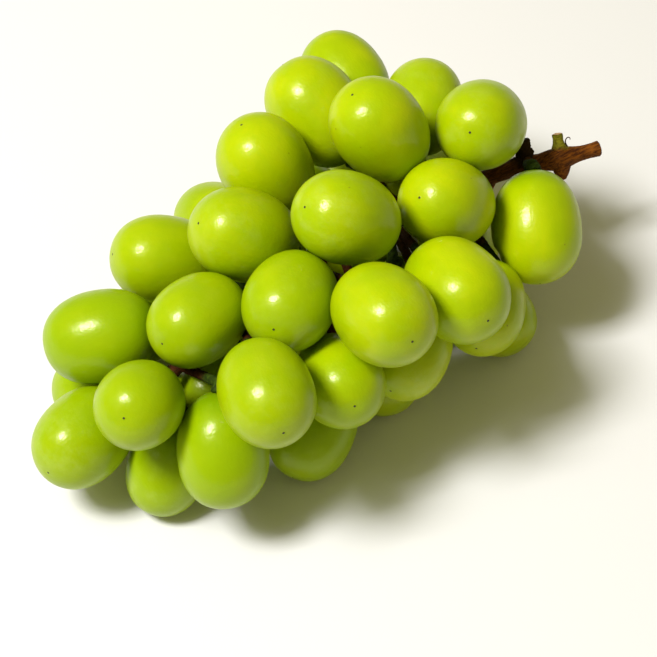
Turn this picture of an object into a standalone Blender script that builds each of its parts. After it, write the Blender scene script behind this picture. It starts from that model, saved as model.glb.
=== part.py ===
"""A bunch of large green table grapes, lying on its side on a flat surface.

Metres, +Z up. The rachis runs along X, from the cut peduncle at +X to the tip of the bunch at -X.
The origin is on the surface, below the middle of the bunch. Each berry is one solid, and the
peduncle, rachis and pedicels grew as one piece and are one solid.
"""
import math

import bmesh
import bpy
import numpy as np
from mathutils import Vector

MM = 0.001

# Driving dimensions
BUNCH_LENGTH = 200.0 * MM       # from just inside the peduncle's cut end to the foremost berry
BERRY_LENGTH = 33.8 * MM        # stalk end to free end
BERRY_WIDTH = 26.6 * MM
PEDUNCLE_DIAMETER = 4.6 * MM
RACHIS_TIP_DIAMETER = 2.6 * MM
PEDICEL_DIAMETER = 2.2 * MM
RECEPTACLE_DIAMETER = 4.6 * MM
RECEPTACLE_LENGTH = 2.0 * MM
STUB_DIAMETER = 3.8 * MM
STUB_LENGTH = 7.5 * MM

# Shape and fit
FULLNESS = 2.2                  # 2 would be an ellipsoid, more is blunter
TAPER = 0.03                    # how much narrower the stalk end is than the free end
GAP = 0.3 * MM                  # air left between two pieces that press on each other
PRESSING = 3.0 * MM             # neighbours closer than this are kept apart by a plane
FLAT_DEPTH = 0.7 * MM           # how far a resting berry is pressed flat by the surface
PEDICEL_SLANTS = (4, 8, 12, 0, 16, -4, 20, -8, 26, -14)   # stations towards the cut end, to choose from

STATIONS = 200                  # steps along that length, 0 near the cut end
PERCENT = 0.01

# The rachis: station, sideways and height, the last two in percent of a berry's width
RACHIS_ROUTE = (
    (-3, 25, 152),
    (9, 39, 151),
    (22, 56, 147),
    (38, 68, 143),
    (72, 74, 140),
    (104, 71, 135),
    (134, 49, 128),
    (160, 15, 113),
)
JUNCTION_STATION = 9            # where the peduncle was forked and cut
WART_STATION = 21               # where a lateral broke off

# Short branches: station, direction, length and end diameters in shares of the stub's
BRANCHES = (
    (JUNCTION_STATION, (0.2, 0.6, 0.75), 1.0, 1.0, 0.85),       # the fork's cut stub
    (JUNCTION_STATION, (-0.3, -0.65, -0.7), 0.8, 1.0, 0.35),    # its pointed spur
    (WART_STATION, (-0.1, 0.5, 0.85), 0.85, 1.15, 1.0),         # the broken lateral
)

# The berries: station, clock angle about the rachis, reach from it in percent of a berry's width,
# clock angle that the free end faces, lean of the free end towards the tip, size in percent.
# Clock angle 0 is up, 90 is the front, 180 is down and -90 is the back. Resting berries last.
BERRIES = (
    # shoulder, top and back
    (48, -83, 198, -80, 0, 95),
    (68, -67, 149, -56, 10, 104),
    (38, -73, 102, -75, -40, 93),
    (63, -18, 113, -15, 25, 102),
    (33, -8, 80, 40, 40, 100),
    (92, -55, 114, -20, 15, 102),
    (90, 25, 124, -10, 50, 99),
    (56, 43, 80, 10, 45, 98),
    (56, -118, 58, 10, 5, 76),
    # front
    (31, 90, 90, 125, 25, 101),
    (76, 68, 180, 75, 5, 103),
    (99, 59, 200, 70, 5, 100),
    (115, 50, 107, 60, 45, 98),
    (137, 61, 162, 80, 15, 97),
    (107, 83, 152, 65, 15, 93),
    (86, 98, 148, 95, 55, 90),
    (63, 99, 144, 95, 45, 89),
    # towards the tip
    (112, -15, 76, -15, 50, 101),
    (129, -86, 100, -40, 60, 98),
    (136, 13, 62, 50, 65, 94),
    (159, -72, 90, -115, 60, 100),
    (163, 32, 62, 40, 35, 91),
    (175, -141, 38, 75, 65, 97),
    (149, 92, 100, 140, 20, 97),
    (136, 168, 58, 120, 50, 82),
    # resting on the surface
    (97, -116, 188, -118, 10, 93),
    (160, -124, 117, -125, 40, 90),
    (154, 146, 74, 155, 35, 87),
    (116, 122, 150, 130, 50, 93),
    (85, 127, 140, 130, 10, 84),
    (50, 130, 134, 125, -20, 88),
    (30, -133, 125, -110, -5, 92),
    (73, -121, 177, -135, 10, 97),
    (68, 148, 98, 160, -5, 90),
    (102, 156, 78, 165, 5, 92),
    (139, -121, 133, -125, 20, 88),
    (72, -153, 90, -155, 0, 97),
    (122, -150, 92, 175, 20, 92),
    (42, 172, 83, -175, -20, 92),
    (96, -141, 102, -150, 0, 97),
    (46, -126, 166, -75, 0, 90),
)
RESTING_FROM = 25               # row of the first resting berry

SEGMENTS = 14                   # faces round a berry
RINGS = 9                       # faces from one end of it to the other
STALK_SIDES = 8
PEDICEL_SIDES = 6
ROUTE_POINTS = 6                # points along a pedicel
RACHIS_POINTS = 24
ROOM_ROUNDS = 400
ROOM_STEP = 0.3                 # share of an overlap that one round takes away
ROOM_PULL = 0.004               # share of the way back to its place that a berry moves each round
ROUTE_ROUNDS = 80
ROUTE_EASE = 0.25               # share of a bend that one round takes out of a pedicel
PARTING_TURN = 0.9              # share of the way that one try turns towards the widest gap
PARTING_TRIES = 16              # tries to find the widest gap between two pieces
PARTING_TRIES_ROUGH = 8
PARTING_TRIES_MOVING = 4        # enough while the berries still move

NOBODY = -1
TOWARDS_TIP = np.array((-1.0, 0.0, 0.0))


def unit(vector):
    """The vector at length 1; also for an array of vectors."""
    return vector / np.linalg.norm(vector, axis=-1, keepdims=True)


def around(clock):
    """Direction away from the rachis at a clock angle in degrees."""
    angle = math.radians(clock)
    return np.array((0.0, -math.sin(angle), math.cos(angle)))


def along(station):
    """X of a station."""
    return BUNCH_LENGTH * (0.5 - station / STATIONS)


def rachis_point(station):
    """The rachis's centre at a station, on a smooth curve through its route."""
    rows = np.array(RACHIS_ROUTE, dtype=float)
    slopes = np.gradient(rows[:, 1:], rows[:, 0], axis=0)
    row = int(np.clip(np.searchsorted(rows[:, 0], station) - 1, 0, len(rows) - 2))
    span = rows[row + 1, 0] - rows[row, 0]
    t = float(np.clip((station - rows[row, 0]) / span, 0.0, 1.0))
    start, end = rows[row, 1:], rows[row + 1, 1:]
    leave, arrive = slopes[row] * span, slopes[row + 1] * span
    chord = end - start
    curve = start + t * chord + t * (1 - t) * ((1 - t) * (leave - chord) - t * (arrive - chord))
    side, height = curve * PERCENT * BERRY_WIDTH
    return np.array((along(station), side, height))


def rachis_line():
    """Centres and diameters along the peduncle and rachis, from the cut end to the tip."""
    stations = np.linspace(RACHIS_ROUTE[0][0], RACHIS_ROUTE[-1][0], RACHIS_POINTS)
    centres = np.array([rachis_point(station) for station in stations])
    share = np.linspace(0, 1, RACHIS_POINTS)
    return centres, PEDUNCLE_DIAMETER + (RACHIS_TIP_DIAMETER - PEDUNCLE_DIAMETER) * share


class Berries:
    """Centres, axes and half sizes of all the berries. An axis points to the free end."""

    def __init__(self):
        rows = np.array(BERRIES, dtype=float)
        reach = rows[:, 2] * PERCENT * BERRY_WIDTH
        roots = np.array([rachis_point(station) for station in rows[:, 0]])
        outward = np.array([around(clock) for clock in rows[:, 1]])
        facing = np.array([around(clock) for clock in rows[:, 3]])
        lean = np.radians(rows[:, 4])[:, None]
        self.centre = roots + reach[:, None] * outward
        self.axis = np.cos(lean) * facing + np.sin(lean) * TOWARDS_TIP
        self.half_length = rows[:, 5] * PERCENT * BERRY_LENGTH / 2
        self.radius = rows[:, 5] * PERCENT * BERRY_WIDTH / 2
        self.resting = np.arange(len(rows)) >= RESTING_FROM
        self.all = np.arange(len(rows))

    def support(self, which, normals):
        """How far the chosen berries reach along a direction each, and the points that do."""
        axis, radius = self.axis[which], self.radius[which][:, None]
        half = self.half_length[which][:, None]
        cosine = (normals * axis).sum(axis=1, keepdims=True)
        reach = np.sqrt(radius ** 2 * (1 - cosine ** 2) + half ** 2 * cosine ** 2)
        points = (radius ** 2 * normals + (half ** 2 - radius ** 2) * cosine * axis) / reach
        return reach[:, 0], points

    def crowding(self, point, clearance):
        """The moves that would bring a point clear of each berry that it is too close to."""
        offset = point - self.centre
        lengthwise = (offset * self.axis).sum(axis=1)
        across = (offset ** 2).sum(axis=1) - lengthwise ** 2
        depth = np.sqrt(across / (self.radius + clearance) ** 2
                        + lengthwise ** 2 / (self.half_length + clearance) ** 2)
        inside = depth < 1
        return (1 / depth[inside] - 1)[:, None] * offset[inside]


def parting(offset, support_first, support_second, rounds):
    """The widest gap between pairs of rounded bodies, and its direction from first to second."""
    distance = np.linalg.norm(offset, axis=1, keepdims=True)
    normal = offset / distance
    for _ in range(rounds):
        between = offset - support_first(normal)[1] + support_second(-normal)[1]
        sideways = between - (between * normal).sum(axis=1, keepdims=True) * normal
        normal = unit(normal + PARTING_TURN * sideways / distance)
    gap = (offset * normal).sum(axis=1) - support_first(normal)[0] - support_second(-normal)[0]
    return gap, normal


def berry_gaps(berries, first, second, rounds):
    """Gaps between pairs of berries."""
    return parting(berries.centre[second] - berries.centre[first],
                   lambda normal: berries.support(first, normal),
                   lambda normal: berries.support(second, normal), rounds)


def rod_gaps(berries, which, rods, rounds):
    """Gaps between berries and round-ended rods, which are rows of two ends and a radius."""
    middle, half = (rods[:, 0:3] + rods[:, 3:6]) / 2, (rods[:, 3:6] - rods[:, 0:3]) / 2

    def rod_support(normal):
        side = np.sign((half * normal).sum(axis=1, keepdims=True))
        points = side * half + rods[:, 6:7] * normal
        return (points * normal).sum(axis=1), points

    return parting(middle - berries.centre[which],
                   lambda normal: berries.support(which, normal), rod_support, rounds)


def make_room(berries, rods):
    """Moves the berries apart until none is inside another, the rachis or the surface."""
    first, second = np.triu_indices(len(berries.all), 1)
    wanted = berries.centre.copy()
    down = np.tile((0.0, 0.0, -1.0), (len(berries.all), 1))
    which = np.repeat(berries.all, len(rods))
    rod_rows = np.tile(rods, (len(berries.all), 1))
    for _ in range(ROOM_ROUNDS):
        move = ROOM_PULL * (wanted - berries.centre)
        gap, normal = berry_gaps(berries, first, second, PARTING_TRIES_MOVING)
        push = ROOM_STEP * np.maximum(GAP - gap, 0)[:, None] * normal
        np.add.at(move, first, -push)
        np.add.at(move, second, push)
        gap, normal = rod_gaps(berries, which, rod_rows, PARTING_TRIES_MOVING)
        np.add.at(move, which, -ROOM_STEP * np.maximum(GAP - gap, 0)[:, None] * normal)
        berries.centre += move
        bottom = berries.support(berries.all, down)[0]
        berries.centre[:, 2] = np.where(berries.resting, bottom - FLAT_DEPTH,
                                        np.maximum(berries.centre[:, 2], bottom + GAP))


def eased_route(berries, neck, root):
    """Points from a berry's neck to its root on the rachis, eased out of the berries on the way."""
    share = np.linspace(0, 1, ROUTE_POINTS)[:, None]
    points = (1 - share) * neck + share * root
    clearance = PEDICEL_DIAMETER / 2 + 2 * GAP
    for _ in range(ROUTE_ROUNDS):
        points[1:-1] += ROUTE_EASE * (points[:-2] + points[2:] - 2 * points[1:-1])
        for point in points[1:-1]:
            for move in berries.crowding(point, clearance):
                point += move
    return points


def pressing(berries, points):
    """How deep a pedicel along these points would press into the berries, in all."""
    rods = rods_along(points, np.full(len(points), PEDICEL_DIAMETER))
    which = np.repeat(berries.all, len(rods))
    rod_rows = np.tile(rods, (len(berries.all), 1))
    gap = rod_gaps(berries, which, rod_rows, PARTING_TRIES_ROUGH)[0]
    return np.maximum(GAP - gap, 0).sum()


def pedicel_route(berries, row):
    """Centres along a pedicel, from its berry's stalk end to the freest root on the rachis."""
    axis = berries.axis[row]
    seat = berries.centre[row] - (berries.half_length[row] + GAP) * axis
    neck = seat - RECEPTACLE_LENGTH * axis
    stations = np.linspace(WART_STATION, RACHIS_ROUTE[-1][0], RACHIS_POINTS)
    roots = np.array([rachis_point(station) for station in stations])
    nearest = stations[np.argmin(np.linalg.norm(roots - neck, axis=1))]
    best, least = None, math.inf
    for slant in PEDICEL_SLANTS:
        station = np.clip(nearest - slant, WART_STATION, RACHIS_ROUTE[-1][0])
        points = eased_route(berries, neck, rachis_point(station))
        depth = pressing(berries, points)
        if depth < least - GAP:
            best, least = points, depth
    return np.vstack((seat, neck, best[1:]))


def rods_along(centres, diameters):
    """Round-ended rods along a line of centres."""
    radii = np.maximum(diameters[:-1], diameters[1:]) / 2
    return np.column_stack((centres[:-1], centres[1:], radii))


def clip_planes(berries, rods, owners):
    """For each berry, the planes it must stay behind: a direction and a distance from its centre."""
    planes = [[] for _ in berries.all]
    first, second = np.triu_indices(len(berries.all), 1)
    gap, normal = berry_gaps(berries, first, second, PARTING_TRIES)
    reach_first = berries.support(first, normal)[0]
    reach_second = berries.support(second, -normal)[0]
    for pair in np.flatnonzero(gap < PRESSING):
        share = (gap[pair] - GAP) / 2
        planes[first[pair]].append((normal[pair], reach_first[pair] + share))
        planes[second[pair]].append((-normal[pair], reach_second[pair] + share))
    which = np.repeat(berries.all, len(rods))
    gap, normal = rod_gaps(berries, which, np.tile(rods, (len(berries.all), 1)), PARTING_TRIES)
    reach = berries.support(which, normal)[0]
    strange = which != np.tile(owners, len(berries.all))
    for pair in np.flatnonzero((gap < PRESSING) & strange):
        planes[which[pair]].append((normal[pair], reach[pair] + gap[pair] - GAP))
    return planes


def berry_mesh(half_length, radius, turn, height, planes, resting):
    """A berry about its own centre, its free end at +Z, pressed flat where something touches it."""
    bm = bmesh.new()
    bmesh.ops.create_uvsphere(bm, u_segments=SEGMENTS, v_segments=RINGS, radius=1.0)
    to_world, to_local = turn.to_matrix(), turn.to_matrix().transposed()
    for vertex in bm.verts:
        cosine = max(-1.0, min(1.0, vertex.co.z))
        sine = math.sqrt(1 - cosine ** 2)
        bulge = (sine ** FULLNESS + abs(cosine) ** FULLNESS) ** (-1 / FULLNESS)
        width = radius * bulge * (1 + TAPER * cosine)
        vertex.co = (vertex.co.x * width, vertex.co.y * width, cosine * bulge * half_length)
        place = np.array(to_world @ vertex.co)
        limits = [distance / (place @ normal) for normal, distance in planes if place @ normal > 0]
        vertex.co *= min(limits + [1.0])
    if resting:
        surface = to_local @ Vector((0, 0, -height))
        bmesh.ops.bisect_plane(bm, geom=bm.verts[:] + bm.edges[:] + bm.faces[:], plane_co=surface,
                               plane_no=to_local @ Vector((0, 0, 1)), clear_inner=True)
        bmesh.ops.holes_fill(bm, edges=bm.edges[:], sides=0)
    bmesh.ops.recalc_face_normals(bm, faces=bm.faces[:])
    mesh = bpy.data.meshes.new("berry")
    bm.to_mesh(mesh)
    bm.free()
    return mesh


def tube(name, centres, diameters, sides):
    """A closed round bar along a line of centres."""
    bm = bmesh.new()
    tangents = unit(np.gradient(centres, axis=0))
    across = Vector(tangents[0]).orthogonal().normalized()
    rings = []
    for centre, tangent, diameter in zip(centres, tangents, diameters):
        along_tube = Vector(tangent)
        across = (across - across.dot(along_tube) * along_tube).normalized()
        upright = along_tube.cross(across)
        ring = []
        for side in range(sides):
            angle = 2 * math.pi * side / sides
            spoke = math.cos(angle) * across + math.sin(angle) * upright
            ring.append(bm.verts.new(Vector(centre) + float(diameter) / 2 * spoke))
        rings.append(ring)
    for near, far in zip(rings[:-1], rings[1:]):
        for side in range(sides):
            after = (side + 1) % sides
            bm.faces.new((near[side], near[after], far[after], far[side]))
    bm.faces.new(rings[0][::-1])
    bm.faces.new(rings[-1])
    bmesh.ops.recalc_face_normals(bm, faces=bm.faces[:])
    mesh = bpy.data.meshes.new(name)
    bm.to_mesh(mesh)
    bm.free()
    return bpy.data.objects.new(name, mesh)


def stub_lines():
    """The forked end of the peduncle and the broken lateral: centres and diameters of each."""
    lines = []
    for station, direction, length, thick, thin in BRANCHES:
        start = rachis_point(station)
        ahead = length * STUB_LENGTH * unit(np.array(direction))
        centres = np.array([start + share * ahead for share in (0.0, 0.5, 1.0)])
        lines.append((centres, STUB_DIAMETER * np.array((thick, (thick + thin) / 2, thin))))
    return lines


def stem_lines(berries):
    """Every bar of the stem: centres, diameters and sides, the rachis first."""
    lines = [(*rachis_line(), STALK_SIDES)]
    lines += [(*line, STALK_SIDES) for line in stub_lines()]
    for row in berries.all:
        centres = pedicel_route(berries, row)
        diameters = np.full(len(centres), PEDICEL_DIAMETER)
        diameters[0] = RECEPTACLE_DIAMETER
        lines.append((centres, diameters, PEDICEL_SIDES))
    return lines


def stem_rods(lines, berry_count):
    """The stem as rods, and for each the berry that sits on it, or NOBODY."""
    rods, owners = [], []
    for number, (centres, diameters, _) in enumerate(lines):
        rods.append(rods_along(centres, diameters))
        owner = np.full(len(rods[-1]), NOBODY)
        pedicel = number - (len(lines) - berry_count)
        if pedicel >= 0:
            owner[0] = pedicel
        owners.append(owner)
    return np.vstack(rods), np.concatenate(owners)


def stem_object(lines):
    """The bars of the stem joined into one solid."""
    bars = [tube("bar", *line) for line in lines]
    stem, branches = bars[0], bpy.data.collections.new("branches")
    stem.name = "stem"
    bpy.context.collection.objects.link(stem)
    bpy.context.scene.collection.children.link(branches)
    for bar in bars[1:]:
        branches.objects.link(bar)
    join = stem.modifiers.new("join", 'BOOLEAN')
    join.operation = 'UNION'
    join.operand_type = 'COLLECTION'
    join.collection = branches
    evaluated = stem.evaluated_get(bpy.context.evaluated_depsgraph_get())
    stem.data = bpy.data.meshes.new_from_object(evaluated)
    stem.modifiers.clear()
    for bar in bars[1:]:
        bpy.data.objects.remove(bar)
    bpy.data.collections.remove(branches)
    return stem


def material(name, colour, roughness):
    """A plain Principled material."""
    made = bpy.data.materials.new(name)
    made.use_nodes = True
    shader = made.node_tree.nodes["Principled BSDF"]
    shader.inputs["Base Color"].default_value = (*colour, 1.0)
    shader.inputs["Roughness"].default_value = roughness
    shader.inputs["Metallic"].default_value = 0.0
    made.diffuse_color = (*colour, 1.0)
    return made


def finish(item, surface):
    """Smooth shading and the piece's material."""
    item.data.materials.clear()
    item.data.materials.append(surface)
    item.data.shade_smooth()
    item.data.set_sharp_from_angle(angle=math.radians(50))


def build():
    for item in list(bpy.data.objects):
        bpy.data.objects.remove(item)
    skin = material("grape_skin", (0.42, 0.56, 0.04), 0.3)
    wood = material("stem_wood", (0.19, 0.10, 0.04), 0.75)

    berries = Berries()
    rachis = rods_along(*rachis_line())
    stubs = np.vstack([rods_along(*line) for line in stub_lines()])
    make_room(berries, np.vstack((rachis, stubs)))

    lines = stem_lines(berries)
    planes = clip_planes(berries, *stem_rods(lines, len(berries.all)))
    pieces = [stem_object(lines)]
    finish(pieces[0], wood)
    for row in berries.all:
        turn = Vector(berries.axis[row]).to_track_quat('Z', 'Y')
        mesh = berry_mesh(berries.half_length[row], berries.radius[row], turn,
                          berries.centre[row, 2], planes[row], berries.resting[row])
        berry = bpy.data.objects.new(f"berry_{row + 1:02d}", mesh)
        bpy.context.collection.objects.link(berry)
        berry.rotation_mode = 'QUATERNION'
        berry.rotation_quaternion = turn
        berry.location = berries.centre[row]
        finish(berry, skin)
        pieces.append(berry)

    bpy.context.view_layer.update()
    corners = np.array([piece.matrix_world @ vertex.co
                        for piece in pieces for vertex in piece.data.vertices])
    middle = (corners.min(axis=0) + corners.max(axis=0)) / 2
    for piece in pieces:
        piece.location.x -= middle[0]
        piece.location.y -= middle[1]


build()
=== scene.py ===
"""The looks of a bunch of green table grapes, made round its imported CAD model.

Metres, in the CAD's frame: +Z up, the bunch along X with the cut end of its stem at +X. Every berry
is fitted to its CAD solid, gets a fine skin that presses softly on its neighbours, and stands for it.
The stem is grown from its CAD solid with bark, cut ends and a dry tendril. Its fork is thicker and its
broken lateral stands nearer the cut end than in the CAD.
"""
import math
import random

import bpy
import numpy as np
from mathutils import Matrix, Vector, noise
from mathutils.bvhtree import BVHTree


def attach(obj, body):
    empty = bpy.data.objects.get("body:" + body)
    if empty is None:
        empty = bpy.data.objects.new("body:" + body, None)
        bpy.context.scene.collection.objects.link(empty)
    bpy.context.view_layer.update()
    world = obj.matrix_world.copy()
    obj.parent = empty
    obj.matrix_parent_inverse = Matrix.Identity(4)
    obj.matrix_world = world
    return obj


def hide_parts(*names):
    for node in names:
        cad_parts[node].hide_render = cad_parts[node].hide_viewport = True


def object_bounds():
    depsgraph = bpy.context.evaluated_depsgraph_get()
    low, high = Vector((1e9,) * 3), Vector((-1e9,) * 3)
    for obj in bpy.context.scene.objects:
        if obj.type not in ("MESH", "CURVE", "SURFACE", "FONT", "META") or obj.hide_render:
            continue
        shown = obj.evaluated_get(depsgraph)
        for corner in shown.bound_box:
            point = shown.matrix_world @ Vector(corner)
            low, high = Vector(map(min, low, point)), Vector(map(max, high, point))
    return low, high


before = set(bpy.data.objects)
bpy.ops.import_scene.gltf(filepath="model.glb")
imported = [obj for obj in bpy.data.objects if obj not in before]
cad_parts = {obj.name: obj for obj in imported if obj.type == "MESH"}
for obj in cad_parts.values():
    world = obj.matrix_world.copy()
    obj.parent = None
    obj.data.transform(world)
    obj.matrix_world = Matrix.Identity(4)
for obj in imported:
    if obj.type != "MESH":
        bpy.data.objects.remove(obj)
cad_low, cad_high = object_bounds()

MM = 0.001

# The shape of a berry, as the CAD has it
FULLNESS = 2.2                      # 2 would be an ellipsoid
TAPER = 0.03                        # how much narrower the stalk end is
LENGTH_TO_WIDTH = 33.8 / 26.6

# The fit of a berry to its CAD solid. Tolerances are shares of the berry's size.
FLAT_BELOW = 0.01 * MM              # points lower than this lie on the flat it rests on
FIT_TURNS = 30
FIT_LOOSE = 0.05                    # the tolerance at first
FIT_TIGHT = 0.0005                  # the tolerance at last
FIT_SHRINK = 0.8                    # what is left of the tolerance after each turn
FIT_CHOICE = 0.002                  # the tolerance for choosing the best of the tries
FIT_WEAKEST = 1e-6                  # changes that matter less than this are left alone
FIT_NUDGES = (1e-6, 1e-6, 1e-6, 1e-4, 1e-4, 1e-4, 1e-6)
DEPTH_TURNS = 3

# Skin
SEGMENTS = 60                       # faces round a berry
RINGS = 44                          # rings of points from its free end to its stalk end
END_CROWDING = 0.62                 # how far the rings crowd towards the two ends, 0 to 1
PRESS_SHARPNESS = 110.0             # a higher number gives contact flats a sharper edge
AIR = 0.002                         # air kept in a contact, as a share of a berry's size
NEIGHBOUR_REACH = 2.2               # berries further off than this many half lengths don't press
MEETING_LIMIT = 1.15                # how far out a contact is looked for, as a share of the skin
MEETING_TURNS = 14
FACES_DOWN = 0.1                    # a point must lie this share of the height lower to press down
NO_SURFACE = 9.0                    # a share so far out that it never counts
EVENING_TURNS = 2                   # how often the skin's shares are evened
EVENING_RISE = 0.004                # how much one evening may raise them
SWELL = 0.014                       # unevenness of a berry's form, as a share of its size
SWELL_LUMPS = 0.9                   # about how many swellings there are along a berry's radius
DENT_FROM, DENT_FULL = 0.95, 0.90   # how near its centre the CAD face is where the skin dents
SCAR_RADIUS = 0.34 * MM             # the dry remains of the flower at the free end
SCAR_HEIGHT = 0.14 * MM
SCAR_EDGE = 1.3                     # the dot's foot, in scar radii
SCAR_COLOUR_EDGE = 1.35             # how far its dark material goes, in scar radii
HOLLOW_RADIUS = 1.7 * MM            # the shallow hollow round it
HOLLOW_DEPTH = 0.10 * MM
PAINTED_SHADE_FROM = 15 * MM                # painted shade: grapes nearer the tip than this X are a little darker green, standing in for the shade on them
PAINTED_SHADE_SPAN = 75 * MM

# Stem
BARK_VOXEL = 0.36 * MM
BARK_SMOOTHING = 0.5
BARK_SMOOTHING_TURNS = 7
BARK_RELIEF = 0.16 * MM
WART_RELIEF = 0.6 * MM
FORK_SWELL = 1.25 * MM
RACHIS_SWELL = 0.45 * MM
RACHIS_SWELL_FROM = 8 * MM          # the rachis is thicker from here on, counted from the cut end
RECEPTACLE_SWELL = 0.30             # how much wider a pedicel's end is than in the CAD
RECEPTACLE_REACH = 3.0 * MM
CAP_REACH = 7.5 * MM                # the dark green of a receptacle reaches this far from its grape: partly its own green, partly painted shade
STUB_LENGTH = 7.5 * MM
STUB_WAIST = 2.2 * MM               # the stub's thin green middle is this far below its cut end
END_DEPTH = 0.4 * MM                # points this near the furthest one make up an end
CUT_DEPTH = 0.5 * MM
CUT_REACH = 4 * MM                  # a cut face reaches this far from its middle
CUT_FACING, CUT_FACING_SPAN = 0.35, 0.5
CUT_SMOOTHNESS = 0.8                # share of the relief that a cut face doesn't have
TENDRIL_DIAMETER = 0.40 * MM
# The tendril's points from the fork's middle, in mm
TENDRIL_STEPS = ((2.0, 0.2, 1.0), (3.2, 0.6, 1.8), (3.0, 1.7, 2.5), (3.1, 2.5, 3.1), (3.8, 3.0, 3.6),
                 (4.6, 3.0, 3.9), (5.0, 2.5, 3.8), (4.7, 2.1, 3.4))
# The directions of the fork's stub, the broken lateral and the spur
STUB_AHEAD = Vector((0.2, 0.6, 0.75)).normalized()
WART_AHEAD = Vector((-0.1, 0.5, 0.85)).normalized()
SPUR_AHEAD = Vector((-0.3, -0.65, -0.7)).normalized()
FORK_FROM, FORK_REACH = 6 * MM, 21 * MM       # where the fork and its stubs are, from the cut end
WART_FROM_FORK = Vector((-12.6, 7.5, 4.7)) * MM
WART_LENGTH = 6.4 * MM
WART_REACH = 3.4 * MM
WART_SHIFT = Vector((3.2, 0.4, 0.6)) * MM     # the broken lateral stands this much nearer the fork
PEDUNCLE_LENGTH = 45 * MM

# Camera and light
CAMERA_AIM = Vector((-0.0058, -0.0221, 0.030))
CAMERA_AZIMUTH = -33.0
CAMERA_ELEVATION = 51.5
CAMERA_DISTANCE = 0.580
CAMERA_LENS = 109.6
LAMP_AIM = Vector((0, 0, 0.03))
LAMP_COLOUR = (1.0, 0.99, 0.98)
KEY_FROM = Vector((-0.50, 0.09, 0.855)).normalized()
KEY_DISTANCE = 1.3
KEY_SIZE, KEY_POWER = (0.29, 0.36), 20.0
SOFT_BOX_DISTANCE = KEY_DISTANCE + 0.05
SOFT_BOX_SIZE, SOFT_BOX_POWER = (0.62, 0.70), 4.0
ROOM_COLOUR = (1.0, 0.93, 0.46)
ROOM_STRENGTH = 0.29
FLOOR_HALF = 3.0
FLOOR_DROP = 0.2 * MM               # how far the floor lies below the grapes
SEED = 41


def unit(vectors):
    """The vectors at length 1."""
    return vectors / np.linalg.norm(vectors, axis=-1, keepdims=True)


def node_points(name):
    """A CAD node's points, as an array."""
    return np.array([vertex.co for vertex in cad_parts[name].data.vertices])


# ---------------------------------------------------------------- the form of each berry

class Berry:
    """A berry's centre, its axis towards the free end, and its radius."""

    def __init__(self, values):
        self.centre = values[0:3]
        self.axis = unit(values[3:6])
        self.radius = values[6]

    def depth(self, points):
        """How far points are from the centre, where the plain skin is at 1."""
        offset = points - self.centre
        height = offset @ self.axis
        across = np.linalg.norm(offset - height[..., None] * self.axis, axis=-1) / self.radius
        height = height / (self.radius * LENGTH_TO_WIDTH)
        width = across
        for _ in range(DEPTH_TURNS):
            cosine = height / np.hypot(height, width)
            width = across / (1 + TAPER * cosine)
        return (width ** FULLNESS + np.abs(height) ** FULLNESS) ** (1 / FULLNESS)

    def pole(self, side):
        """The free end, side 1, or the stalk end, side -1."""
        return self.centre + side * self.radius * LENGTH_TO_WIDTH * self.axis


def on_skin(points, values, tolerance):
    """How well each point lies on the plain skin of the berry with these values, 1 at best."""
    off = Berry(values).depth(points) - 1
    return 1 / (1 + (off / tolerance) ** 2)


def settled(points, centre, axis):
    """A berry's values after fitting it to points, the ones on its flats counting less and less."""
    radius = np.ptp(points @ axis) / (2 * LENGTH_TO_WIDTH)
    values = np.array([*centre, *axis, radius])
    for turn in range(FIT_TURNS):
        off = Berry(values).depth(points) - 1
        slopes = np.column_stack([(Berry(values + step * row).depth(points) - 1 - off) / step
                                  for step, row in zip(FIT_NUDGES, np.eye(len(values)))])
        weight = on_skin(points, values, max(FIT_LOOSE * FIT_SHRINK ** turn, FIT_TIGHT))
        values = values + np.linalg.lstsq(slopes * weight[:, None], -off * weight, rcond=FIT_WEAKEST)[0]
        values[3:6] = unit(values[3:6])
    return values


def fitted_berry(points):
    """The berry whose plain skin a CAD solid was cut from: its narrower end is the stalk end."""
    points = points[points[:, 2] > FLAT_BELOW]
    centre = points.mean(axis=0)
    tries = [settled(points, centre, side * axis)
             for axis in np.linalg.svd(points - centre)[2][:2] for side in (1, -1)]
    return Berry(max(tries, key=lambda values: on_skin(points, values, FIT_CHOICE).sum()))


def ring_angles():
    """Angles from the free end of the rings of points, closer together near both ends."""
    share = np.linspace(0, 1, RINGS + 2)[1:-1]
    return math.pi * (share - END_CROWDING * np.sin(2 * math.pi * share) / (2 * math.pi))


def plain_skin(berry):
    """Points of the plain skin about the centre in the berry's own directions: both poles last."""
    angle = np.concatenate((ring_angles().repeat(SEGMENTS), (0.0, math.pi)))
    turn = np.concatenate((np.tile(np.arange(SEGMENTS) * 2 * math.pi / SEGMENTS, RINGS), (0.0, 0.0)))
    cosine, sine = np.cos(angle), np.sin(angle)
    bulge = (np.abs(sine) ** FULLNESS + np.abs(cosine) ** FULLNESS) ** (-1 / FULLNESS)
    width = berry.radius * bulge * sine * (1 + TAPER * cosine)
    return np.column_stack((width * np.cos(turn), width * np.sin(turn),
                            berry.radius * LENGTH_TO_WIDTH * bulge * cosine))


def meeting_share(berry, offsets, other):
    """For each point, the share of its offset at which it is as deep in one berry as in the other."""
    low, high = np.zeros(len(offsets)), np.full(len(offsets), MEETING_LIMIT)
    for _ in range(MEETING_TURNS):
        middle = (low + high) / 2
        free = other.depth(berry.centre + middle[:, None] * offsets) > middle
        low, high = np.where(free, middle, low), np.where(free, high, middle)
    return low


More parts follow.
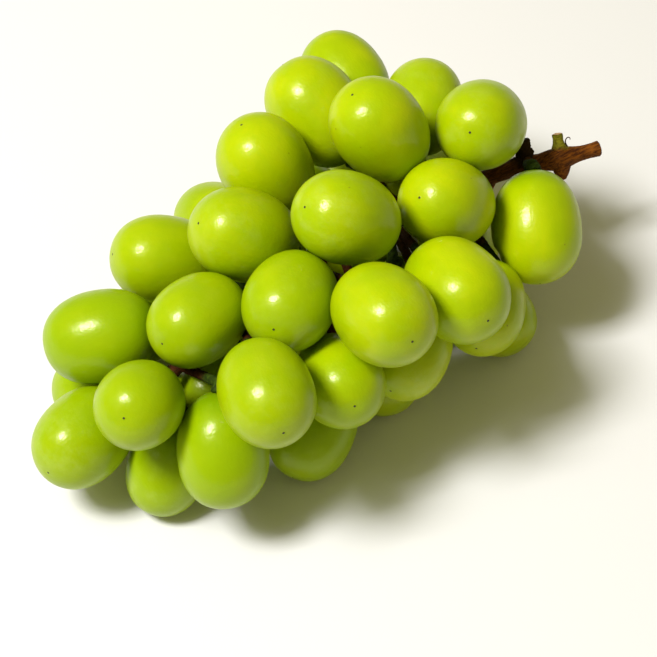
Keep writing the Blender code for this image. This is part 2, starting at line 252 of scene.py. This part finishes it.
def smoothed(share):
    """Each point's share evened with its neighbours' on the rings."""
    rings = share[:-2].reshape(RINGS, SEGMENTS)
    tops = np.vstack((np.full(SEGMENTS, share[-2]), rings, np.full(SEGMENTS, share[-1])))
    even = (tops[:-2] + tops[2:] + np.roll(rings, 1, axis=1) + np.roll(rings, -1, axis=1)) / 4
    ends = (rings[0].mean(), rings[-1].mean())
    return np.concatenate((((rings + even) / 2).ravel(), (share[-2:] + ends) / 2))


def cad_share(name, berry, offsets):
    """How far out the CAD solid's own face is along each offset."""
    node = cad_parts[name]
    tree = BVHTree.FromPolygons([vertex.co for vertex in node.data.vertices],
                                [polygon.vertices for polygon in node.data.polygons])
    centre = Vector(berry.centre)
    shares = []
    for offset in offsets:
        distance = tree.ray_cast(centre, Vector(offset))[3]
        shares.append(1.0 if distance is None else distance / np.linalg.norm(offset))
    return np.array(shares)


def pressed_skin(name, berry, others, offsets):
    """The share of each plain point's offset that is left by neighbours, the stem and the surface."""
    limits = [np.ones(len(offsets))]
    for other in others:
        limits.append(meeting_share(berry, offsets, other))
    to_surface = np.full(len(offsets), NO_SURFACE)
    down = offsets[:, 2] < -FACES_DOWN * berry.centre[2]
    to_surface[down] = -berry.centre[2] / offsets[down, 2]
    limits.append(to_surface)
    pressing = sum(np.exp(-PRESS_SHARPNESS * (limit - 1)) for limit in limits)
    share = -np.log(pressing) / PRESS_SHARPNESS + 1
    cad = cad_share(name, berry, offsets)
    blend = np.clip((cad - DENT_FULL) / (DENT_FROM - DENT_FULL), 0, 1)
    share = np.minimum(share, cad + (1 - cad) * blend ** 2 * (3 - 2 * blend))
    for _ in range(EVENING_TURNS):
        share = np.minimum(smoothed(share), share + EVENING_RISE)
    return np.minimum(share, to_surface) * (1 - AIR)


def free_end(local):
    """How much lower or higher the skin is near the free end: a shallow hollow and a dry dot."""
    across = np.hypot(local[:, 0], local[:, 1])
    front = local[:, 2] > 0
    hollow = -HOLLOW_DEPTH * np.exp(-(across / HOLLOW_RADIUS) ** 2)
    dot = SCAR_HEIGHT * np.clip(SCAR_EDGE - across / SCAR_RADIUS, 0, 1)
    return np.where(front, hollow + dot, 0.0)


def unevenness(local, radius, seed):
    """A slow, slight swelling and sinking of the form."""
    shift = Vector((seed, -seed, 2 * seed))
    return np.array([noise.noise(Vector(point) * (SWELL_LUMPS / radius) + shift) for point in local])


def berry_faces():
    """Faces between the rings and round the two poles."""
    faces = []
    for ring in range(RINGS - 1):
        for column in range(SEGMENTS):
            after = (column + 1) % SEGMENTS
            near, far = ring * SEGMENTS, (ring + 1) * SEGMENTS
            faces.append((near + column, far + column, far + after, near + after))
    free_pole, stalk_pole = RINGS * SEGMENTS, RINGS * SEGMENTS + 1
    last = (RINGS - 1) * SEGMENTS
    for column in range(SEGMENTS):
        after = (column + 1) % SEGMENTS
        faces.append((free_pole, column, after))
        faces.append((stalk_pole, last + after, last + column))
    return faces


def spread_attribute(mesh, name, values):
    """A number for each point of a mesh, for its material."""
    attribute = mesh.attributes.new(name, 'FLOAT', 'POINT')
    attribute.data.foreach_set("value", np.asarray(values, dtype=np.float32))


def make_berry(name, berry, others, faces, materials, pick):
    """One grape, standing for its CAD berry."""
    matrix = np.array(Vector(berry.axis).to_track_quat('Z', 'Y').to_matrix())
    local = plain_skin(berry)
    local *= 1 + SWELL * unevenness(local, berry.radius, pick.uniform(-50, 50))[:, None]
    share = pressed_skin(name, berry, others, local @ matrix.T)
    local = local * share[:, None]
    local[:, 2] += free_end(local)
    offset = local @ matrix.T
    place = berry.centre + offset
    inside = np.minimum(np.array(cad_high) - place.max(axis=0), 0)
    inside += np.maximum(np.array(cad_low) - place.min(axis=0), 0)

    mesh = bpy.data.meshes.new(name.replace("berry", "grape"))
    mesh.from_pydata([tuple(point) for point in offset], [], faces)
    mesh.materials.append(materials["skin"])
    mesh.materials.append(materials["scar"])
    across = np.hypot(local[:, 0], local[:, 1])
    for polygon in mesh.polygons:
        polygon.use_smooth = True
        corners = list(polygon.vertices)
        in_scar = across[corners].max() < SCAR_RADIUS * SCAR_COLOUR_EDGE
        if in_scar and local[corners[0], 2] > 0:
            polygon.material_index = 1
    spread_attribute(mesh, "tone", np.full(len(local), pick.uniform(-1, 1)))
    # painted shade: a darker green for grapes towards the tip, standing in for their shade
    tip_painted_shade = np.clip((PAINTED_SHADE_FROM - berry.centre[0]) / PAINTED_SHADE_SPAN, 0, 1)
    spread_attribute(mesh, "tip_painted_shade", np.full(len(local), tip_painted_shade))
    spread_attribute(mesh, "bloom", np.full(len(local), pick.random() ** 2))
    spread_attribute(mesh, "length_share", local[:, 2] / (berry.radius * LENGTH_TO_WIDTH))
    own = mesh.attributes.new("own_place", 'FLOAT_VECTOR', 'POINT')
    own.data.foreach_set("vector", (local + pick.uniform(-1, 1)).astype(np.float32).ravel())
    piece = bpy.data.objects.new(mesh.name, mesh)
    bpy.context.collection.objects.link(piece)
    piece.location = berry.centre + inside
    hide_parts(name)
    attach(piece, "root")


def make_berries(materials):
    """All the grapes, and their plain forms for the stem's ends."""
    names = sorted(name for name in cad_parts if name.startswith("berry_"))
    berries = [fitted_berry(node_points(name)) for name in names]
    faces = berry_faces()
    pick = random.Random(SEED)
    for name, berry in zip(names, berries):
        reach = NEIGHBOUR_REACH * LENGTH_TO_WIDTH * berry.radius
        others = [other for other in berries
                  if other is not berry and np.linalg.norm(other.centre - berry.centre) < reach]
        make_berry(name, berry, others, faces, materials, pick)
    return berries


# ---------------------------------------------------------------- the stem

def furthest(points, ahead, near):
    """Where a cut end is: the middle of the points that reach furthest in its direction."""
    chosen = points[near]
    reach = chosen @ np.array(ahead)
    return chosen[reach > reach.max() - END_DEPTH].mean(axis=0)


def nearness(place, spot, size):
    """1 at a spot, falling off smoothly over a size."""
    return np.exp(-(np.linalg.norm(place - spot, axis=1) / size) ** 2)


def stem_landmarks(points):
    """The cut end, the fork, the stub's waist, and the ends of the stub, the spur and the lateral."""
    from_end = points[:, 0].max() - points[:, 0]
    near_fork = (from_end > FORK_FROM) & (from_end < FORK_REACH)
    stub_end = furthest(points, STUB_AHEAD, near_fork)
    fork = stub_end - STUB_LENGTH * np.array(STUB_AHEAD)
    return {"cut": points[from_end < CUT_DEPTH].mean(axis=0), "stub": stub_end, "fork": fork,
            "waist": stub_end - STUB_WAIST * np.array(STUB_AHEAD),
            "spur": furthest(points, SPUR_AHEAD, near_fork), "wart": fork + np.array(WART_FROM_FORK)}


def remeshed_stem():
    """The CAD stem as one fine, even, softened skin."""
    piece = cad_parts["stem"].copy()
    piece.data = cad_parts["stem"].data.copy()
    piece.name = piece.data.name = "stem_bark"
    for key in list(piece.keys()):
        del piece[key]
    piece.parent = None
    bpy.context.collection.objects.link(piece)
    remesh = piece.modifiers.new("remesh", 'REMESH')
    remesh.mode = 'VOXEL'
    remesh.voxel_size = BARK_VOXEL
    smooth = piece.modifiers.new("smooth", 'SMOOTH')
    smooth.factor = BARK_SMOOTHING
    smooth.iterations = BARK_SMOOTHING_TURNS
    evaluated = piece.evaluated_get(bpy.context.evaluated_depsgraph_get())
    piece.data = bpy.data.meshes.new_from_object(evaluated)
    piece.modifiers.clear()
    return piece


def swelling(place, marks):
    """How much thicker or thinner than the CAD's the stem is at each point."""
    ahead = np.array(STUB_AHEAD)
    from_end = marks["cut"][0] - place[:, 0]
    rows = (                        # a spot, how far the bark stands out there, and how wide
        (marks["fork"] - 0.6 * MM * ahead, FORK_SWELL, 5.0 * MM),
        (marks["spur"] + 2.5 * MM * ahead, 0.5 * MM, 2.4 * MM),
        (marks["cut"], 0.5 * MM, 2.6 * MM),
        (marks["stub"], 0.35 * MM, 1.9 * MM),
        (marks["waist"], -0.75 * MM, 2.4 * MM),
    )
    swell = RACHIS_SWELL * np.clip((from_end - RACHIS_SWELL_FROM) / RACHIS_SWELL_FROM, 0, 1)
    for spot, height, size in rows:
        swell += height * nearness(place, spot, size)
    return swell


def bark_relief(place, warts):
    """How far ridges, lumps and warts stand out at each point."""
    relief = np.empty(len(place))
    for number, spot in enumerate(map(Vector, place)):
        ridge = noise.noise(Vector((spot.x * 180, spot.y * 1100, spot.z * 1100)))
        lump = noise.noise(spot * 420)
        grit = noise.noise(spot * 1500)
        flake = abs(noise.noise(spot * 640 + Vector((3, 1, 7)))) + 0.5 * abs(noise.noise(spot * 1400))
        relief[number] = (BARK_RELIEF * (0.6 * ridge + 0.5 * lump + 0.3 * grit)
                          + warts[number] * WART_RELIEF * (2.0 * flake - 0.4))
    return relief


def make_stem(berries, materials):
    """The peduncle, rachis and pedicels with bark, cut ends and warts, standing for the CAD stem."""
    marks = stem_landmarks(node_points("stem"))
    piece = remeshed_stem()
    mesh = piece.data
    place = np.array([vertex.co for vertex in mesh.vertices])
    normal = np.array([vertex.normal for vertex in mesh.vertices])

    cuts = np.zeros(len(place))
    for end, ahead in (("cut", Vector((1, 0, 0))), ("stub", STUB_AHEAD)):
        close = np.linalg.norm(place - marks[end], axis=1) < CUT_REACH
        facing = normal @ np.array(ahead)
        cuts = np.maximum(cuts, close * np.clip((facing - CUT_FACING) / CUT_FACING_SPAN, 0, 1))

    lateral = [marks["wart"] - step * WART_LENGTH * np.array(WART_AHEAD) for step in (0, 0.3, 0.6)]
    lateral = np.max([nearness(place, spot, WART_REACH) for spot in lateral], axis=0)
    place = place + np.clip(1.2 * lateral, 0, 1)[:, None] * np.array(WART_SHIFT)
    caps = np.zeros(len(place))
    for berry in berries:
        seat = berry.pole(-1)
        near = nearness(place, seat, RECEPTACLE_REACH)
        away = place - seat - np.outer((place - seat) @ berry.axis, berry.axis)
        place = place + RECEPTACLE_SWELL * away * near[:, None]
        caps = np.maximum(caps, nearness(place, seat, CAP_REACH))
    warts = np.clip(np.maximum(1.3 * lateral, 0.3 * caps ** 3), 0, 1)
    outward = (swelling(place, marks) + bark_relief(place, warts)) * (1 - CUT_SMOOTHNESS * (cuts > 0.5))
    place = np.clip(place + normal * outward[:, None], np.array(cad_low), np.array(cad_high))
    mesh.vertices.foreach_set("co", place.ravel())
    mesh.update()
    for polygon in mesh.polygons:
        polygon.use_smooth = True
    mesh.materials.clear()
    mesh.materials.append(materials["bark"])
    from_end = marks["cut"][0] - place[:, 0]
    spread_attribute(mesh, "woody", np.clip(1.5 - from_end / PEDUNCLE_LENGTH, 0, 1))
    spread_attribute(mesh, "young", nearness(place, marks["waist"], 4.2 * MM))
    # where the pedicels get their green, darkened near black in the material as painted shade
    spread_attribute(mesh, "green", np.clip(1.6 * caps, 0, 1))
    spread_attribute(mesh, "wart", np.clip(1.2 * lateral, 0, 1))
    spread_attribute(mesh, "cut", cuts)
    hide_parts("stem")
    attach(piece, "root")
    make_tendril(marks, materials)


def make_tendril(marks, materials):
    """The thin dry curl beside the stub."""
    route = [marks["fork"] + MM * np.array(step) for step in TENDRIL_STEPS]
    curve = bpy.data.curves.new("stem_tendril", 'CURVE')
    curve.dimensions = '3D'
    curve.bevel_depth = TENDRIL_DIAMETER / 2
    curve.bevel_resolution = 2
    curve.use_fill_caps = True
    spline = curve.splines.new('NURBS')
    spline.points.add(len(route) - 1)
    for number, (point, spot) in enumerate(zip(spline.points, route)):
        point.co = (*spot, 1.0)
        point.radius = 1.3 - 0.8 * number / len(route)
    spline.use_endpoint_u = True
    spline.order_u = 4
    curve.materials.append(materials["bark"])
    tendril = bpy.data.objects.new("stem_tendril", curve)
    bpy.context.collection.objects.link(tendril)
    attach(tendril, "root")


# ---------------------------------------------------------------- materials

def new_material(name):
    """A material with its node tree and shader."""
    made = bpy.data.materials.new(name)
    made.use_nodes = True
    return made, made.node_tree, made.node_tree.nodes["Principled BSDF"]


def node(tree, kind, inputs=None, **settings):
    """A node with its settings, its inputs given as numbers, colours or other nodes' outputs."""
    made = tree.nodes.new(kind)
    for key, value in settings.items():
        setattr(made, key, value)
    for key, value in (inputs or {}).items():
        if isinstance(value, bpy.types.NodeSocket):
            tree.links.new(value, made.inputs[key])
        else:
            made.inputs[key].default_value = value
    return made


def noise_at(tree, where, scale, detail=2.0, roughness=0.5, squeeze=(1, 1, 1)):
    """A noise value over the object's own coordinates."""
    placed = node(tree, "ShaderNodeMapping", {"Vector": where, "Scale": squeeze})
    made = node(tree, "ShaderNodeTexNoise", {"Vector": placed.outputs[0], "Scale": scale,
                                             "Detail": detail, "Roughness": roughness})
    return made.outputs["Fac"]


def ranged(tree, value, low, high, to_low=0.0, to_high=1.0):
    """The value moved from one range to another and kept in it, with soft ends."""
    made = node(tree, "ShaderNodeMapRange", {"Value": value, "From Min": low, "From Max": high,
                                             "To Min": to_low, "To Max": to_high},
                interpolation_type='SMOOTHSTEP')
    return made.outputs[0]


def maths(tree, operation, first, second=0.0):
    """One sum, product or other operation."""
    made = node(tree, "ShaderNodeMath", {0: first, 1: second}, operation=operation)
    return made.outputs[0]


def mixed(tree, share, first, second):
    """Two colours mixed."""
    made = node(tree, "ShaderNodeMix", data_type='RGBA')
    for socket, value in ((made.inputs[0], share), (made.inputs[6], first), (made.inputs[7], second)):
        if isinstance(value, bpy.types.NodeSocket):
            tree.links.new(value, socket)
        else:
            socket.default_value = value if isinstance(value, float) else (*value, 1.0)
    return made.outputs[2]


def attribute(tree, name):
    """A mesh's own number at each point."""
    return node(tree, "ShaderNodeAttribute", attribute_name=name).outputs["Fac"]


def skin_material():
    """Translucent yellow-green skin, paler with bloom, greener towards the stalk, with rare specks."""
    made, tree, shader = new_material("grape_skin_fine")
    where = node(tree, "ShaderNodeAttribute", attribute_name="own_place").outputs["Vector"]
    tone = attribute(tree, "tone")
    length_share = attribute(tree, "length_share")
    broad = noise_at(tree, where, 70.0, 2.0)
    mottle = noise_at(tree, where, 420.0, 3.0, 0.6)
    streak = noise_at(tree, where, 1.0, 3.0, 0.6, squeeze=(520, 520, 60))
    fibre = noise_at(tree, where, 1.0, 2.0, 0.5, squeeze=(1500, 1500, 230))

    ripe = maths(tree, 'ADD', maths(tree, 'MULTIPLY', tone, 0.16), broad)
    colour = mixed(tree, ranged(tree, ripe, 0.3, 0.72), (0.320, 0.435, 0.0), (0.430, 0.515, 0.0))
    colour = mixed(tree, ranged(tree, streak, 0.35, 0.7, 0.0, 0.35), colour, (0.345, 0.490, 0.0))
    colour = mixed(tree, ranged(tree, mottle, 0.55, 0.8, 0.0, 0.22), colour, (0.470, 0.550, 0.008))
    # painted shade: darker green towards the tip of the bunch
    colour = mixed(tree, maths(tree, 'MULTIPLY', attribute(tree, "tip_painted_shade"), 0.62), colour,
                   (0.215, 0.345, 0.0))
    colour = mixed(tree, ranged(tree, length_share, -0.55, -1.0, 0.0, 0.75), colour, (0.140, 0.260, 0.0))
    haze = maths(tree, 'MULTIPLY', ranged(tree, noise_at(tree, where, 160.0, 4.0, 0.65), 0.42, 0.75),
                 attribute(tree, "bloom"))
    haze = maths(tree, 'MULTIPLY', haze, ranged(tree, length_share, -0.2, 0.95, 0.08, 0.38))
    colour = mixed(tree, haze, colour, (0.480, 0.600, 0.140))
    speckle = node(tree, "ShaderNodeTexVoronoi", {"Vector": where, "Scale": 330.0})
    dot = ranged(tree, speckle.outputs["Distance"], 0.13, 0.05)
    rare = ranged(tree, noise_at(tree, where, 210.0, 1.0), 0.66, 0.70)
    colour = mixed(tree, maths(tree, 'MULTIPLY', maths(tree, 'MULTIPLY', dot, rare), 0.7), colour,
                   (0.180, 0.150, 0.010))
    tree.links.new(colour, shader.inputs["Base Color"])

    rough = maths(tree, 'ADD', ranged(tree, mottle, 0.3, 0.7, 0.30, 0.42),
                  maths(tree, 'MULTIPLY', haze, 0.3))
    tree.links.new(rough, shader.inputs["Roughness"])
    shader.inputs["IOR"].default_value = 1.31
    shader.inputs["Specular Tint"].default_value = (1.0, 1.0, 0.28, 1.0)
    shader.inputs["Subsurface Weight"].default_value = 0.30
    shader.inputs["Subsurface Radius"].default_value = (0.85, 1.15, 0.03)
    shader.inputs["Subsurface Scale"].default_value = 0.004
    shader.inputs["Coat Weight"].default_value = 0.15
    shader.inputs["Coat Roughness"].default_value = 0.17
    shader.inputs["Coat IOR"].default_value = 1.80
    cells = noise_at(tree, where, 1050.0, 2.0, 0.5)
    dimple = maths(tree, 'ADD', maths(tree, 'MULTIPLY', fibre, 0.35), mottle)
    dimple = maths(tree, 'ADD', maths(tree, 'MULTIPLY', cells, 0.6), dimple)
    bump = node(tree, "ShaderNodeBump", {"Height": dimple, "Strength": 1.0, "Distance": 0.00008})
    tree.links.new(bump.outputs[0], shader.inputs["Normal"])
    tree.links.new(bump.outputs[0], shader.inputs["Coat Normal"])
    return made


def scar_material():
    """The dry dark dot at the free end."""
    made, tree, shader = new_material("style_scar")
    where = node(tree, "ShaderNodeTexCoord").outputs["Object"]
    grain = noise_at(tree, where, 2600.0, 2.0)
    colour = mixed(tree, ranged(tree, grain, 0.3, 0.7), (0.006, 0.004, 0.001), (0.035, 0.024, 0.006))
    tree.links.new(colour, shader.inputs["Base Color"])
    shader.inputs["Roughness"].default_value = 0.8
    return made


def bark_material():
    """Brown bark with green showing through, pale cut wood and near-black warts; the pedicels' green is
    darkened with painted shade.
    """
    made, tree, shader = new_material("stem_bark_fine")
    where = node(tree, "ShaderNodeTexCoord").outputs["Object"]
    blotch = noise_at(tree, where, 190.0, 3.0, 0.6)
    grain = noise_at(tree, where, 1.0, 4.0, 0.65, squeeze=(240, 1500, 1500))
    fine = noise_at(tree, where, 1900.0, 2.0)
    streak = ranged(tree, grain, 0.3, 0.7)
    bright = mixed(tree, streak, (0.040, 0.009, 0.001), (0.215, 0.064, 0.004))
    deep = mixed(tree, streak, (0.022, 0.006, 0.001), (0.080, 0.022, 0.002))
    young = mixed(tree, streak, (0.110, 0.100, 0.004), (0.290, 0.270, 0.012))
    # painted shade: the pedicels' own green made near black for the shade inside the bunch
    green = mixed(tree, streak, (0.008, 0.018, 0.001), (0.040, 0.070, 0.003))
    uneven = maths(tree, 'MULTIPLY', blotch, 0.5)
    colour = mixed(tree, ranged(tree, maths(tree, 'ADD', attribute(tree, "woody"), uneven), 0.4, 1.1),
                   deep, bright)
    colour = mixed(tree, ranged(tree, maths(tree, 'ADD', attribute(tree, "young"), uneven), 0.6, 1.0),
                   colour, young)
    # pedicels and receptacles: their green with painted shade
    colour = mixed(tree, ranged(tree, maths(tree, 'ADD', attribute(tree, "green"), uneven), 0.5, 1.0),
                   colour, green)
    colour = mixed(tree, ranged(tree, attribute(tree, "wart"), 0.1, 0.7, 0.0, 0.93), colour,
                   (0.020, 0.012, 0.002))
    colour = mixed(tree, ranged(tree, fine, 0.60, 0.75, 0.0, 0.7), colour, (0.025, 0.010, 0.002))
    cut = attribute(tree, "cut")
    colour = mixed(tree, ranged(tree, cut, 0.0, 0.3), colour, (0.030, 0.012, 0.003))
    colour = mixed(tree, ranged(tree, cut, 0.45, 0.75), colour, (0.520, 0.330, 0.170))
    tree.links.new(colour, shader.inputs["Base Color"])
    tree.links.new(ranged(tree, blotch, 0.3, 0.7, 0.65, 0.9), shader.inputs["Roughness"])
    shader.inputs["Specular IOR Level"].default_value = 0.12
    bump = node(tree, "ShaderNodeBump", {"Height": grain, "Strength": 0.6, "Distance": 0.0002})
    tree.links.new(bump.outputs[0], shader.inputs["Normal"])
    return made


def floor_material():
    """Plain pale paint."""
    made, _, shader = new_material("floor_pale")
    shader.inputs["Base Color"].default_value = (0.76, 0.75, 0.76, 1.0)
    shader.inputs["Roughness"].default_value = 0.85
    shader.inputs["Specular IOR Level"].default_value = 0.2
    return made


# ---------------------------------------------------------------- setting

def make_floor():
    """A plain pale floor under the bunch."""
    corners = [(x * FLOOR_HALF, y * FLOOR_HALF, 0) for x, y in ((-1, -1), (1, -1), (1, 1), (-1, 1))]
    mesh = bpy.data.meshes.new("floor")
    mesh.from_pydata(corners, [], [(0, 1, 2, 3)])
    mesh.materials.append(floor_material())
    floor = bpy.data.objects.new("floor", mesh)
    bpy.context.collection.objects.link(floor)
    floor.location.z = -FLOOR_DROP


def add_area_light(name, distance, size, power):
    """A soft box that faces the bunch."""
    light = bpy.data.lights.new(name, 'AREA')
    light.shape = 'RECTANGLE'
    light.size, light.size_y = size
    light.energy = power
    light.color = LAMP_COLOUR
    lamp = bpy.data.objects.new(name, light)
    bpy.context.collection.objects.link(lamp)
    lamp.location = LAMP_AIM + distance * KEY_FROM
    lamp.rotation_mode = 'QUATERNION'
    lamp.rotation_quaternion = (-KEY_FROM).to_track_quat('-Z', 'Y')


def add_lights():
    """A small key inside a large soft box, above the tip of the bunch, and a warm pale room."""
    add_area_light("key", KEY_DISTANCE, KEY_SIZE, KEY_POWER)
    add_area_light("soft_box", SOFT_BOX_DISTANCE, SOFT_BOX_SIZE, SOFT_BOX_POWER)
    world = bpy.data.worlds.new("room")
    bpy.context.scene.world = world
    world.use_nodes = True
    background = world.node_tree.nodes["Background"]
    background.inputs["Color"].default_value = (*ROOM_COLOUR, 1.0)
    background.inputs["Strength"].default_value = ROOM_STRENGTH


def add_camera():
    """The camera, above the front of the bunch towards its tip."""
    azimuth, elevation = math.radians(CAMERA_AZIMUTH), math.radians(CAMERA_ELEVATION)
    back = Vector((math.sin(azimuth) * math.cos(elevation), -math.cos(azimuth) * math.cos(elevation),
                   math.sin(elevation)))
    lens = bpy.data.cameras.new("camera")
    lens.lens = CAMERA_LENS
    camera = bpy.data.objects.new("camera", lens)
    bpy.context.collection.objects.link(camera)
    camera.location = CAMERA_AIM + CAMERA_DISTANCE * back
    camera.rotation_mode = 'QUATERNION'
    camera.rotation_quaternion = (-back).to_track_quat('-Z', 'Y')
    bpy.context.scene.camera = camera
    bpy.context.scene.view_settings.view_transform = 'Standard'


materials = {"skin": skin_material(), "scar": scar_material(), "bark": bark_material()}
make_stem(make_berries(materials), materials)
make_floor()
add_lights()
add_camera()
